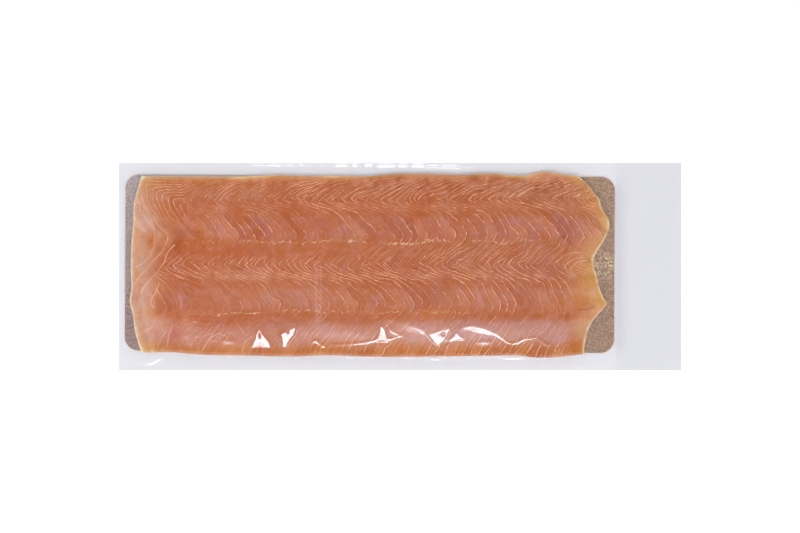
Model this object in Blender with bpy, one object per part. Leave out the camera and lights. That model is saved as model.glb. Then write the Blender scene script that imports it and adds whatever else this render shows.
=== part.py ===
"""Vacuum pack of sliced smoked salmon, lying flat with the cut side up.

Four pieces, from the bottom: the lower web of the clear pouch, the gold board with round corners,
the side of salmon, and the upper web, which clings to the fish, drops to the board and meets the
lower web all round. Metres, +Z up: +X runs towards the tail, +Y across the side, and the origin is
the middle of the pouch's underside.
"""
import math

import bmesh
import bpy
import numpy as np

MM = 0.001

# Clear pouch: two flat webs, drawn thicker than real film so that each stays a solid
POUCH_LENGTH = 550 * MM
POUCH_WIDTH = 203 * MM
FILM = 0.3 * MM
GAP = 0.3 * MM  # left between pieces that touch

# Board: laminated card, slightly askew and nearer the pouch's closed end
BOARD_LENGTH = 479 * MM
BOARD_WIDTH = 173 * MM
BOARD_THICKNESS = 1 * MM
BOARD_CORNER = 14 * MM
BOARD_X = -29.5 * MM
BOARD_Y = 2.7 * MM
BOARD_TURN = math.radians(-0.3)

# Salmon: a trimmed side, cut into long slices and laid back in shape
HEAD_X = -252 * MM  # corners of the head end
HEAD_BULGE = 10.5 * MM  # how far its middle stands out past them
HEAD_SQUARENESS = 2.6
BELLY_Y = -86.5 * MM  # lower long edge
BELLY_LIFT = 2.5 * MM  # how far that edge comes in at its ends
BELLY_SQUARENESS = 8
BACK_Y = 88.2 * MM  # upper long edge at the head
BACK_RISE = 1.8 * MM  # how much further out it is at the tail
# Tail end as (y, x) in mm: a square lower corner, a pointed slice end, a notch and a broad round lobe
TAIL_KNOTS = (
    (-84, 178.5), (-70, 180.5), (-57, 185.5), (-50, 192), (-42, 200.5), (-36.5, 203.5),
    (-30, 199.5), (-20, 195.5), (-4, 192), (7, 189), (20, 196), (38, 204.7),
    (56, 200), (66, 195), (78, 186), (84, 182), (90, 173),
)
FULL_THICKNESS = 12 * MM
RIM_THICKNESS = 7 * MM  # thickness of the cut edge
RIM_ROUND = 3 * MM  # reach of the small round-over at that edge
SHOULDER = 32 * MM  # reach of the long gentle slope from the edge up to full thickness
TAIL_THINNING = 2.5 * MM  # the slices get thinner towards the tail
TAIL_REACH = 110 * MM
WAVE = 0.5 * MM  # the slices don't lie dead flat
UNDERSIDE_INSET = 1.2 * MM

# Grid lines of the salmon: close together near its edges, evenly spread between
EDGE_STATIONS = (0, 1 * MM, 3 * MM, 7 * MM, 14 * MM, 22 * MM)
LONG_SPACING = 14 * MM
CROSS_SPACING = 6 * MM

# Upper web: distances out from the salmon's edge
CLING_OUT = 0.8 * MM
CLING_HEIGHT = 5 * MM  # above the board, where the film leaves the fish
FOOT_OUT = 3.2 * MM  # where it reaches the board
BOARD_CLEARANCE = 1.2 * MM
STEP_RUN = 1.8 * MM  # run of the film's drop past the board's edge

BOARD_BASE = FILM + GAP
SALMON_BASE = BOARD_BASE + BOARD_THICKNESS + GAP


def through(knots, stations):
    """Smooth curve through (along, across) knots: cubic spans with central-difference slopes."""
    along, across = np.array(knots, dtype=float).T
    slopes = np.gradient(across, along)
    span = np.clip(np.searchsorted(along, stations, side="right") - 1, 0, len(along) - 2)
    width = along[span + 1] - along[span]
    t = (stations - along[span]) / width
    ends = (1 + 2 * t) * (1 - t) ** 2 * across[span] + t * t * (3 - 2 * t) * across[span + 1]
    bends = t * (1 - t) ** 2 * slopes[span] - t * t * (1 - t) * slopes[span + 1]
    return ends + bends * width


def stations(length, spacing):
    """Distances along a side: the edge stations at both ends, and even steps between them."""
    near = np.array(EDGE_STATIONS)
    steps = round((length - 2 * near[-1]) / spacing)
    middle = np.linspace(near[-1], length - near[-1], steps + 1)
    return np.concatenate([near[:-1], middle, length - near[:-1][::-1]])


def head_edge(v):
    """x of the head end, an even bulge between its two corners."""
    return HEAD_X - HEAD_BULGE * (1 - np.abs(2 * v - 1) ** HEAD_SQUARENESS)


def belly_edge(u):
    """y of the lower long edge, straight but for its two ends."""
    return BELLY_Y + BELLY_LIFT * np.abs(2 * u - 1) ** BELLY_SQUARENESS


def back_edge(u):
    """y of the upper long edge."""
    return BACK_Y + BACK_RISE * u


def tail_edge(v):
    """x of the tail end."""
    y = belly_edge(1) * (1 - v) + back_edge(1) * v
    return through(TAIL_KNOTS, y / MM) * MM


def salmon_plan(u, v):
    """x and y at (u, v): a Coons patch between the four edges, u to the tail, v to the back."""
    x = head_edge(v) * (1 - u) + tail_edge(v) * u
    y_ends = belly_edge(0) * (1 - u) * (1 - v) + back_edge(0) * (1 - u) * v
    y_ends = y_ends + belly_edge(1) * u * (1 - v) + back_edge(1) * u * v
    y_sides = belly_edge(u) * (1 - v) + back_edge(u) * v
    y_head_and_tail = (belly_edge(0) * (1 - v) + back_edge(0) * v) * (1 - u)
    y_head_and_tail = y_head_and_tail + (belly_edge(1) * (1 - v) + back_edge(1) * v) * u
    return x, y_sides + y_head_and_tail - y_ends


def salmon_thickness(from_sides, x, y):
    """Thickness from the distances to the four sides: a round rim, then a long slope to full."""
    rim = np.prod([1 - (1 - np.minimum(d / RIM_ROUND, 1)) ** 2 for d in from_sides], axis=0)
    rise = np.prod([1 - (1 - np.minimum(d / SHOULDER, 1)) ** 2 for d in from_sides], axis=0)
    thinning = TAIL_THINNING * np.clip(1 - from_sides[1] / TAIL_REACH, 0, 1) ** 2
    wave = WAVE * np.sin(x / (31 * MM)) * np.cos(y / (23 * MM) + x / (90 * MM))
    flat = FULL_THICKNESS - RIM_THICKNESS - thinning + wave
    return RIM_THICKNESS * (0.5 + 0.5 * rim) + flat * rise


def salmon_grid():
    """Points of the salmon's upper face, rows along +X and running up to the back."""
    length = tail_edge(0.5) - head_edge(0.5)
    width = back_edge(0.5) - belly_edge(0.5)
    along = stations(length, LONG_SPACING)
    across = stations(width, CROSS_SPACING)
    along, across = np.meshgrid(along, across)
    x, y = salmon_plan(along / length, across / width)
    from_sides = (along, length - along, across, width - across)
    return np.stack([x, y, SALMON_BASE + salmon_thickness(from_sides, x, y)], axis=-1)


def grid_quads(rows, columns, first=0, facing_up=True):
    """Faces of a grid of points numbered row by row, all split along the same diagonal."""
    a = first + (np.arange(rows - 1)[:, None] * columns + np.arange(columns - 1)).ravel()
    if facing_up:
        return np.column_stack([a, a + 1, a + columns + 1, a + columns]).tolist()
    return np.column_stack([a, a + columns, a + columns + 1, a + 1]).tolist()


def grid_rim(rows, columns):
    """Numbers of a grid's outer points, anticlockwise from above."""
    grid = np.arange(rows * columns).reshape(rows, columns)
    return np.concatenate([grid[0, :-1], grid[:-1, -1], grid[-1, :0:-1], grid[:0:-1, 0]])


def wall_quads(low, high):
    """Outward faces between two anticlockwise rings of point numbers."""
    return np.column_stack([low, np.roll(low, -1), np.roll(high, -1), high]).tolist()


def material(name, colour, roughness, metallic=0.0, alpha=1.0):
    """Principled material in linear colour."""
    made = bpy.data.materials.new(name)
    made.use_nodes = True
    shader = made.node_tree.nodes["Principled BSDF"]
    shader.inputs["Base Color"].default_value = (*colour, 1.0)
    shader.inputs["Roughness"].default_value = roughness
    shader.inputs["Metallic"].default_value = metallic
    shader.inputs["Alpha"].default_value = alpha
    return made


def add(name, points, faces, finish):
    """One object from points and faces, shaded smooth but for its sharp edges."""
    mesh = bpy.data.meshes.new(name)
    mesh.from_pydata(points.tolist(), [], faces)
    mesh.materials.append(finish)
    mesh.shade_smooth()
    mesh.set_sharp_from_angle(angle=math.radians(35))
    piece = bpy.data.objects.new(name, mesh)
    bpy.context.collection.objects.link(piece)
    return piece


def add_plate(name, size, corner_radius, finish):
    """One flat plate around its own centre, with its upright corners rounded."""
    shape = bmesh.new()
    bmesh.ops.create_cube(shape, size=1)
    bmesh.ops.scale(shape, vec=size, verts=shape.verts)
    if corner_radius:
        upright = [e for e in shape.edges if e.verts[0].co.xy == e.verts[1].co.xy]
        bmesh.ops.bevel(shape, geom=upright, offset=corner_radius, segments=10, profile=0.5, affect="EDGES")
    mesh = bpy.data.meshes.new(name)
    shape.to_mesh(mesh)
    shape.free()
    mesh.materials.append(finish)
    piece = bpy.data.objects.new(name, mesh)
    bpy.context.collection.objects.link(piece)
    return piece


def add_lower_web(finish):
    """Lower web of the pouch, flat on the table."""
    web = add_plate("film_bottom", (POUCH_LENGTH, POUCH_WIDTH, FILM), 0, finish)
    web.location.z = FILM / 2


def add_board(finish):
    """The board that keeps the slices flat."""
    board = add_plate("gold_board", (BOARD_LENGTH, BOARD_WIDTH, BOARD_THICKNESS), BOARD_CORNER, finish)
    board.location = (BOARD_X, BOARD_Y, BOARD_BASE + BOARD_THICKNESS / 2)
    board.rotation_euler.z = BOARD_TURN


def add_salmon(top, finish):
    """The side of salmon: its upper face, a wall drawn in below, and a flat underside."""
    rows, columns = top.shape[:2]
    points = top.reshape(-1, 3)
    high = grid_rim(rows, columns)
    outline = points[high]
    centre = (outline.min(axis=0) + outline.max(axis=0)) / 2
    half = outline.max(axis=0) - centre
    foot = outline.copy()
    foot[:, :2] = centre[:2] + (outline - centre)[:, :2] * (1 - UNDERSIDE_INSET / half[:2])
    foot[:, 2] = SALMON_BASE
    low = len(points) + np.arange(len(high))
    faces = grid_quads(rows, columns) + wall_quads(low, high) + [low[::-1].tolist()]
    add("salmon", np.concatenate([points, foot]), faces, finish)


def web_lines(edge, out, board_edge, pouch_edge):
    """Positions of the film's five outer lines on one side, from the salmon's edge out.

    out is -1 or 1, the way that the side faces. Beyond the foot the lines clear the board's edge,
    or keep going out where the salmon overhangs it.
    """
    cling = edge + out * CLING_OUT
    foot = edge + out * FOOT_OUT
    shoulder = out * np.maximum(out * board_edge + BOARD_CLEARANCE, out * foot + CLING_OUT)
    flange = shoulder + out * STEP_RUN
    return [cling, foot, shoulder, flange, np.full_like(flange, pouch_edge)]


def upper_web_grid(top):
    """Points of the upper web's inner face: over the salmon, down to the board, out to the weld.

    The grid is the salmon's own without its two outermost lines, with five lines more on each side.
    """
    keep_rows = np.r_[0, 2:top.shape[0] - 2, top.shape[0] - 1]
    keep_columns = np.r_[0, 2:top.shape[1] - 2, top.shape[1] - 1]
    grid = top[np.ix_(keep_rows, keep_columns)]
    rows, columns = grid.shape[:2]
    lines = 5
    row = np.clip(np.arange(rows - 2 + 2 * lines) - lines + 1, 0, rows - 1)
    column = np.clip(np.arange(columns - 2 + 2 * lines) - lines + 1, 0, columns - 1)
    web = grid[np.ix_(row, column)].copy()

    tilt = math.tan(BOARD_TURN)
    x_edges = [BOARD_X - BOARD_LENGTH / 2, BOARD_X + BOARD_LENGTH / 2]
    board_back = BOARD_Y + BOARD_WIDTH / 2 + tilt * (web[0, :, 0] - BOARD_X)
    board_belly = board_back - BOARD_WIDTH
    head = web_lines(web[:, lines - 1, 0], -1, x_edges[0], -POUCH_LENGTH / 2)
    tail = web_lines(web[:, -lines, 0], 1, x_edges[1], POUCH_LENGTH / 2)
    belly = web_lines(web[lines - 1, :, 1], -1, board_belly, -POUCH_WIDTH / 2)
    back = web_lines(web[-lines, :, 1], 1, board_back, POUCH_WIDTH / 2)
    for k in range(lines):
        web[:, lines - 1 - k, 0] = head[k]
        web[:, -lines + k, 0] = tail[k]
        web[lines - 1 - k, :, 1] = belly[k]
        web[-lines + k, :, 1] = back[k]

    heights = [SALMON_BASE + CLING_HEIGHT, SALMON_BASE, SALMON_BASE, FILM + GAP, FILM + GAP]
    out_row = np.maximum(lines - np.arange(len(row)), np.arange(len(row)) - len(row) + lines + 1)
    out_column = np.maximum(lines - np.arange(len(column)), np.arange(len(column)) - len(column) + lines + 1)
    out = np.maximum(out_row[:, None], out_column)
    web[..., 2] += GAP
    for k in range(lines):
        web[..., 2][out == k + 1] = heights[k]
    return web


def add_upper_web(top, finish):
    """Upper web of the pouch: the inner face, the same face one film thickness higher, and a rim."""
    inner = upper_web_grid(top)
    rows, columns = inner.shape[:2]
    inner = inner.reshape(-1, 3)
    outer = inner + (0, 0, FILM)
    low = grid_rim(rows, columns)
    faces = grid_quads(rows, columns, facing_up=False)
    faces += grid_quads(rows, columns, first=len(inner))
    faces += wall_quads(low, low + len(inner))
    add("film_top", np.concatenate([inner, outer]), faces, finish)


for old in list(bpy.data.objects):
    bpy.data.objects.remove(old, do_unlink=True)

clear_film = material("clear_film", (0.75, 0.75, 0.80), roughness=0.08, alpha=0.3)
gold_laminate = material("gold_laminate", (0.35, 0.24, 0.17), roughness=0.35, metallic=1.0)
smoked_flesh = material("smoked_flesh", (0.54, 0.18, 0.09), roughness=0.4)

salmon_top = salmon_grid()
add_lower_web(clear_film)
add_board(gold_laminate)
add_salmon(salmon_top, smoked_flesh)
add_upper_web(salmon_top, clear_film)
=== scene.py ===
"""Vacuum pack of sliced smoked salmon, lying on a white table and seen from straight above.

The file follows the pack as it is put together: the gold board, the side of salmon laid on it, and
the clear pouch drawn tight over both. Metres, +Z up, +X towards the tail. The salmon's surface is
worked out in millimetres, as "along" from the head end and "across" from the back edge.
"""
import math

import bpy
import numpy as np
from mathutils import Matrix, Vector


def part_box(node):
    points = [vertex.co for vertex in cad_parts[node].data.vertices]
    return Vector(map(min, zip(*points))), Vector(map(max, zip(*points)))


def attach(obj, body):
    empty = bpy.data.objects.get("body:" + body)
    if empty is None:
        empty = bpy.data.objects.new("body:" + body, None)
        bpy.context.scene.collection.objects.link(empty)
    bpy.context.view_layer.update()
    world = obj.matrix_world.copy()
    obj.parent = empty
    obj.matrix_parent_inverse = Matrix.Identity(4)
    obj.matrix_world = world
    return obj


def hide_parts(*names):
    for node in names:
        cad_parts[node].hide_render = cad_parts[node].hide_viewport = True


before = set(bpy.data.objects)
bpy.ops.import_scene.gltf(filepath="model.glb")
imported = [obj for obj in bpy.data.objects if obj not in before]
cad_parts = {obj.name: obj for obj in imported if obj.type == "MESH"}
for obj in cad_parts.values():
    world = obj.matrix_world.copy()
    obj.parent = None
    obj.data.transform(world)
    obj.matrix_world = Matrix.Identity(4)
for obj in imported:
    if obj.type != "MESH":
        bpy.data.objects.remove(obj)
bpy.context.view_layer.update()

# ---------------------------------------------------------------------------------------------
# Gold board. The real one is 1 mm card, laminated on both faces with metallised polyester film
# and die-cut with round corners, so its cut edge shows the pale card.
# ---------------------------------------------------------------------------------------------
MM = 0.001
BOARD_SIZE = (479.0, 173.0, 1.0)
BOARD_CENTRE = (-29.5, 2.7)
BOARD_TURN = math.radians(-0.3)
BOARD_CORNER = 14.0
BOARD_EDGE = 0.5  # how far the die draws the edge down
CARD_GRAIN = 1.1
CRINKLE = 1.05
GLINT_PATCH_CENTRE = (0.198, 0.001, 0.0)
GLINT_PATCH_REACH = (0.014, 0.013)


def levels(code):
    """An sRGB hex value as three numbers from 0 to 1."""
    return np.array([int(code[k:k + 2], 16) for k in (1, 3, 5)]) / 255


def to_linear(value):
    """Linear light of sRGB numbers: the dark end divided by 12.92, the rest to the power 2.4."""
    return np.where(value <= 0.04045, value / 12.92, ((value + 0.055) / 1.055) ** 2.4)


def linear(code):
    """Linear colour of an sRGB hex value, with nothing let through."""
    return (*to_linear(levels(code)).tolist(), 1.0)


def add_node(tree, kind, values=None, **settings):
    """One shader node: settings are its properties, values go to its inputs as numbers or links."""
    made = tree.nodes.new("ShaderNode" + kind)
    for name, setting in settings.items():
        setattr(made, name, setting)
    for name, value in (values or {}).items():
        if isinstance(value, bpy.types.NodeSocket):
            tree.links.new(value, made.inputs[name])
        else:
            made.inputs[name].default_value = value
    return made


def start_material(name):
    """An empty node material, its tree and its output node."""
    made = bpy.data.materials.new(name)
    made.use_nodes = True
    made.node_tree.nodes.clear()
    return made, made.node_tree, made.node_tree.nodes.new("ShaderNodeOutputMaterial")


def add_piece(name, points, faces, *finishes):
    """One smooth-shaded object at the origin, from points in metres and lists of point numbers."""
    mesh = bpy.data.meshes.new(name)
    mesh.from_pydata(np.asarray(points).tolist(), [], faces)
    for finish in finishes:
        mesh.materials.append(finish)
    mesh.shade_smooth()
    piece = bpy.data.objects.new(name, mesh)
    bpy.context.scene.collection.objects.link(piece)
    return piece


def ring_quads(low, high):
    """Outward faces between two anticlockwise rings of point numbers."""
    return np.column_stack([low, np.roll(low, -1), np.roll(high, -1), high]).tolist()


def round_rectangle(length, width, radius, steps):
    """Points round a rectangle, anticlockwise: four quarter circles about the corners' centres."""
    turn = np.arange(4)[:, None] * math.pi / 2 + np.linspace(0, math.pi / 2, steps)
    x = np.array([1, -1, -1, 1])[:, None] * (length / 2 - radius) + radius * np.cos(turn)
    y = np.array([1, 1, -1, -1])[:, None] * (width / 2 - radius) + radius * np.sin(turn)
    return x.ravel(), y.ravel()


# Metallised polyester, laminated over card: a warm mirror broken up by the card's grain, which is
# drawn about three times as coarse as the real one so that it shows
metallised, tree, output = start_material("metallised_laminate")
place = add_node(tree, "TexCoord").outputs["Object"]
apart = add_node(tree, "SeparateXYZ", {"Vector": place})
# Painted reflection: the foil's colour runs from a greyer pink at the head end to a warmer gold at the
# tail, and pales towards the back, standing in for the room that the foil mirrors
towards_tail = add_node(
    tree, "MapRange", {"Value": apart.outputs["X"], "From Min": -0.2, "From Max": 0.16})
grain = add_node(
    tree, "TexNoise",
    {"Vector": place, "Scale": 1 / (CARD_GRAIN * MM), "Detail": 3.0, "Roughness": 0.7})
speckle = add_node(tree, "ValToRGB", {"Fac": grain.outputs["Fac"]})
speckle.color_ramp.elements[0].position = 0.36
speckle.color_ramp.elements[0].color = linear("#A8A8A8")
speckle.color_ramp.elements[1].position = 0.64
speckle.color_ramp.elements[1].color = linear("#FFFFFF")
towards_back = add_node(
    tree, "MapRange", {"Value": apart.outputs["Y"], "From Min": -0.06, "From Max": 0.08})
head_painted_reflection = add_node(tree, "Mix", {0: towards_back.outputs["Result"]}, data_type="RGBA")
head_painted_reflection.inputs[6].default_value = linear("#DEBBB8")
head_painted_reflection.inputs[7].default_value = linear("#FFECEA")
tail_painted_reflection = add_node(tree, "Mix", {0: towards_back.outputs["Result"]}, data_type="RGBA")
tail_painted_reflection.inputs[6].default_value = linear("#E8BEA4")
tail_painted_reflection.inputs[7].default_value = linear("#F6CBAE")
foil_and_painted_reflection = add_node(
    tree, "Mix", {0: towards_tail.outputs["Result"], 6: head_painted_reflection.outputs[2], 7: tail_painted_reflection.outputs[2]},
    data_type="RGBA")
grained = add_node(
    tree, "Mix", {0: 1.0, 6: foil_and_painted_reflection.outputs[2], 7: speckle.outputs["Color"]},
    data_type="RGBA", blend_type="MULTIPLY")
# Painted glints: pale gold specks from a crinkle noise, faint all over and strongest in a patch in the
# middle past the tail, where the crinkled foil catches the light
glint_patch = add_node(tree, "VectorMath", {0: place, 1: GLINT_PATCH_CENTRE}, operation="SUBTRACT")
glint_patch = add_node(
    tree, "VectorMath", {0: glint_patch.outputs[0], 1: (1 / GLINT_PATCH_REACH[0], 1 / GLINT_PATCH_REACH[1], 0.0)},
    operation="MULTIPLY")
glint_patch = add_node(tree, "VectorMath", {0: glint_patch.outputs[0]}, operation="LENGTH")
glint_patch = add_node(
    tree, "MapRange",
    {"Value": glint_patch.outputs["Value"], "From Min": 1.3, "From Max": 0.5, "To Min": 0.2, "To Max": 1.0})
stretched = add_node(tree, "VectorMath", {0: place, 1: (0.5, 1.0, 1.0)}, operation="MULTIPLY")
crinkle = add_node(
    tree, "TexNoise",
    {"Vector": stretched.outputs[0], "Scale": 1 / (CRINKLE * MM), "Detail": 2.0, "Roughness": 0.5})
crinkle = add_node(
    tree, "MapRange",
    {"Value": crinkle.outputs["Fac"], "From Min": 0.50, "From Max": 0.62, "To Min": 0.0, "To Max": 1.0})
painted_glint_share = add_node(
    tree, "Math", {0: glint_patch.outputs["Result"], 1: crinkle.outputs["Result"]}, operation="MULTIPLY")
painted_glints = add_node(tree, "Mix", {0: painted_glint_share.outputs[0], 6: grained.outputs[2]}, data_type="RGBA")
painted_glints.inputs[7].default_value = linear("#FFEFC4")
roughness = add_node(
    tree, "MapRange",
    {"Value": painted_glint_share.outputs[0], "From Min": 0.0, "From Max": 1.0, "To Min": 0.42, "To Max": 0.6})
relief = add_node(tree, "Bump", {"Height": grain.outputs["Fac"], "Strength": 0.35, "Distance": 0.2 * MM})
foil = add_node(
    tree, "BsdfPrincipled",
    {"Base Color": painted_glints.outputs[2], "Metallic": 1.0, "Roughness": roughness.outputs["Result"],
     "Normal": relief.outputs["Normal"]})
tree.links.new(foil.outputs["BSDF"], output.inputs["Surface"])

# Cut card: bleached fibre pressed in a board mill and left bare, so it is pale and matt
card_edge, tree, output = start_material("cut_card")
card = add_node(tree, "BsdfPrincipled", {"Base Color": linear("#E8D6C6"), "Roughness": 0.8})
tree.links.new(card.outputs["BSDF"], output.inputs["Surface"])

board_low, board_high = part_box("gold_board")
insets = (BOARD_EDGE, 0.0, 0.0, BOARD_EDGE)
heights = (0.0, BOARD_EDGE, BOARD_SIZE[2] - BOARD_EDGE, BOARD_SIZE[2])
rings = []
for inset, height in zip(insets, heights):
    length, width = BOARD_SIZE[0] - 2 * inset, BOARD_SIZE[1] - 2 * inset
    x, y = round_rectangle(length, width, BOARD_CORNER - inset, 16)
    turned_x = x * math.cos(BOARD_TURN) - y * math.sin(BOARD_TURN) + BOARD_CENTRE[0]
    turned_y = x * math.sin(BOARD_TURN) + y * math.cos(BOARD_TURN) + BOARD_CENTRE[1]
    rings.append(np.column_stack([turned_x, turned_y, np.full_like(x, height + board_low.z / MM)]))
count = len(rings[0])
numbers = np.arange(4 * count).reshape(4, count)
faces = [quad for low, high in zip(numbers, numbers[1:]) for quad in ring_quads(low, high)]
faces += [numbers[0][::-1].tolist(), numbers[3].tolist()]
board = add_piece("gold_board_laminate", np.concatenate(rings) * MM, faces, metallised, card_edge)
edge_faces = np.zeros(len(faces), dtype=np.int32)
edge_faces[:3 * count] = 1
board.data.polygons.foreach_set("material_index", edge_faces)
board.data.set_sharp_from_angle(angle=math.radians(30))
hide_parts("gold_board")
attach(board, "root")

# ---------------------------------------------------------------------------------------------
# Salmon. A cured and cold-smoked side, trimmed square, cut into long slices parallel to the skin
# and laid back in shape. Pale walls of connective tissue fold across it, one for each vertebra.
# ---------------------------------------------------------------------------------------------
HEAD_BULGE = 10.5  # how far the head end's middle stands out past its corners
HEAD_SQUARENESS = 2.6
BELLY_LIFT = 2.5  # how far the lower long edge comes in at its ends
BELLY_SQUARENESS = 8
BACK_RISE = 1.8  # how much further out the upper long edge is at the tail
# Tail end as (y, x): a square lower corner, a pointed slice end, a notch and a broad round lobe
TAIL_KNOTS = (
    (-84, 179.4), (-76, 180.2), (-68, 181.7), (-60, 184.4), (-52, 188.8), (-44, 195.3), (-38.5, 200.3),
    (-35.5, 201.5), (-31, 199.0), (-24, 195.8), (-16, 193.4), (-8, 191.7), (0, 189.1), (8, 189.0),
    (16, 192.9), (24, 198.1), (32, 202.0), (40, 204.3), (47, 203.0), (54, 198.6), (60, 196.0),
    (66, 194.3), (72, 189.2), (78, 184.8), (84, 178.7), (90, 170.5),
)
FULL_THICKNESS = 12.0
RIM_THICKNESS = 7.0
RIM_DROP = 0.35  # share of the rim's thickness lost in its rounding
RIM_ROUND = 2.0
SHOULDER = 32.0  # reach of the long gentle slope from the cut edge up to full thickness
BELLY_SHELF = 5.0  # thin margin along the belly before the slope starts
BELLY_SHELF_VARIES = 2.2
BELLY_SLOPE = 31.0  # reach of the slope beyond that margin
BELLY_SLOPE_VARIES = 3.0
BACK_SHELF = 2.0
TAIL_THINNING = 2.5
TAIL_REACH = 110.0
WAVE = 0.5  # the slices don't lie dead flat
WAVE_REACH = (31, 23, 90)
UNDERSIDE_INSET = 1.2
FLESH_COLUMNS = 440  # a point about every millimetre, so that each wall stays crisp
FLESH_ROWS = 190

salmon_low, salmon_high = (np.array(corner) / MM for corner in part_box("salmon"))


def through(knots, stations):
    """Smooth curve through (along, across) knots: cubic spans with central-difference slopes."""
    along, across = np.array(knots, dtype=float).T
    slopes = np.gradient(across, along)
    span = np.clip(np.searchsorted(along, stations, side="right") - 1, 0, len(along) - 2)
    width = along[span + 1] - along[span]
    t = (stations - along[span]) / width
    ends = (1 + 2 * t) * (1 - t) ** 2 * across[span] + t * t * (3 - 2 * t) * across[span + 1]
    bends = t * (1 - t) ** 2 * slopes[span] - t * t * (1 - t) * slopes[span + 1]
    return ends + bends * width


# The edges wander by a millimetre or two: (share of the way along the edge, how far out) knots
HEAD_WANDER = (
    (0, 0), (0.12, 1.2), (0.22, 0.6), (0.29, 2.3), (0.36, 0), (0.46, 0.1), (0.6, -0.2), (0.74, -0.7),
    (0.84, 1.0), (0.93, 0.3), (1, 0),
)
BELLY_WANDER = (
    (0, 0), (0.06, -1.9), (0.13, -0.3), (0.25, 0.6), (0.35, 1.3), (0.41, 0.3), (0.52, 1.6),
    (0.62, 1.7), (0.8, 0.8), (0.86, 1.1), (0.885, 2.6), (0.92, 3.1), (0.95, 2.7), (1, 1.5),
)
BACK_WANDER = (
    (0, 0.1), (0.12, -0.5), (0.24, -0.8), (0.31, 0.5), (0.4, -0.6), (0.45, -0.5), (0.52, -0.8),
    (0.58, 1.2), (0.66, 1.1), (0.73, 0.1), (0.8, 1.2), (0.875, -0.9), (0.935, 2.5), (0.975, -0.6),
    (1, -1),
)


def head_edge(v):
    """x of the head end: its corners' x less a bulge that fades to nothing at them."""
    return salmon_low[0] + HEAD_BULGE * np.abs(2 * v - 1) ** HEAD_SQUARENESS - through(HEAD_WANDER, v)


def belly_edge(u):
    """y of the lower long edge, straight but for its two ends."""
    return salmon_low[1] + BELLY_LIFT * np.abs(2 * u - 1) ** BELLY_SQUARENESS - through(BELLY_WANDER, u)


def back_edge(u):
    """y of the upper long edge, a straight line that rises to the tail."""
    return salmon_high[1] - BACK_RISE * (1 - u) + through(BACK_WANDER, u)


def tail_edge(v):
    """x of the tail end, from its knots."""
    return through(TAIL_KNOTS, belly_edge(1) * (1 - v) + back_edge(1) * v)


def salmon_plan(u, v):
    """x and y at (u, v): a Coons patch between the four edges, u to the tail and v to the back."""
    x = head_edge(v) * (1 - u) + tail_edge(v) * u
    y_ends = belly_edge(0) * (1 - u) * (1 - v) + back_edge(0) * (1 - u) * v
    y_ends = y_ends + belly_edge(1) * u * (1 - v) + back_edge(1) * u * v
    y_sides = belly_edge(u) * (1 - v) + back_edge(u) * v
    y_head_and_tail = (belly_edge(0) * (1 - v) + back_edge(0) * v) * (1 - u)
    y_head_and_tail = y_head_and_tail + (belly_edge(1) * (1 - v) + back_edge(1) * v) * u
    return x, y_sides + y_head_and_tail - y_ends


SALMON_LENGTH = tail_edge(0.5) - head_edge(0.5)
SALMON_WIDTH = back_edge(0.5) - belly_edge(0.5)


def cloud(x, y, size, seed):
    """Smooth random field from -1 to 1: seeded numbers on a lattice of this size, eased between."""
    lattice = np.random.default_rng(seed).uniform(-1, 1, (97, 89))
    x, y = np.broadcast_arrays(x / size + 1000, y / size + 1000)
    i, j = np.floor(x).astype(int), np.floor(y).astype(int)
    s, t = x - i, y - j
    s = s ** 3 * (s * (s * 6 - 15) + 10)
    t = t ** 3 * (t * (t * 6 - 15) + 10)
    near = lattice[i % 97, j % 89] * (1 - s) + lattice[(i + 1) % 97, j % 89] * s
    far = lattice[i % 97, (j + 1) % 89] * (1 - s) + lattice[(i + 1) % 97, (j + 1) % 89] * s
    return near * (1 - t) + far * t


def ease(start, end, value):
    """0 before start, 1 after end, and the smooth step 3t^2 - 2t^3 between."""
    t = np.clip((value - start) / (end - start), 0, 1)
    return t * t * (3 - 2 * t)


def belly_rise(x, from_belly):
    """Share of full thickness reached at a distance from the belly edge: an ease up from a shelf,
    both of which vary slowly along the side."""
    start = BELLY_SHELF + cloud(x, 0.0, 38, 303) * BELLY_SHELF_VARIES
    return ease(start, start + BELLY_SLOPE + cloud(x, 0.0, 46, 304) * BELLY_SLOPE_VARIES, from_belly)


def salmon_top(u, v):
    """Points of the upper face: the plan, at a height that grows with 1 - (1 - d)^2 round the rim,
    and again up the long slope, d being the distance from each side over its reach."""
    x, y = salmon_plan(u, v)
    from_sides = [u * SALMON_LENGTH, (1 - u) * SALMON_LENGTH, v * SALMON_WIDTH, (1 - v) * SALMON_WIDTH]
    rim = np.prod([1 - (1 - np.clip(d / RIM_ROUND, 0, 1)) ** 2 for d in from_sides], axis=0)
    rise = np.prod([1 - (1 - np.clip(d / SHOULDER, 0, 1)) ** 2 for d in from_sides[:2]], axis=0)
    rise = rise * belly_rise(x, from_sides[2]) * ease(BACK_SHELF, SHOULDER, from_sides[3])
    thinning = TAIL_THINNING * np.clip(1 - from_sides[1] / TAIL_REACH, 0, 1) ** 2
    wave = WAVE * np.sin(x / WAVE_REACH[0]) * np.cos(y / WAVE_REACH[1] + x / WAVE_REACH[2])
    thickness = RIM_THICKNESS * (1 - RIM_DROP * (1 - rim))
    thickness = thickness + (FULL_THICKNESS - RIM_THICKNESS - thinning + wave) * rise
    return np.stack([x, y, salmon_low[2] + thickness], axis=-1)


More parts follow.
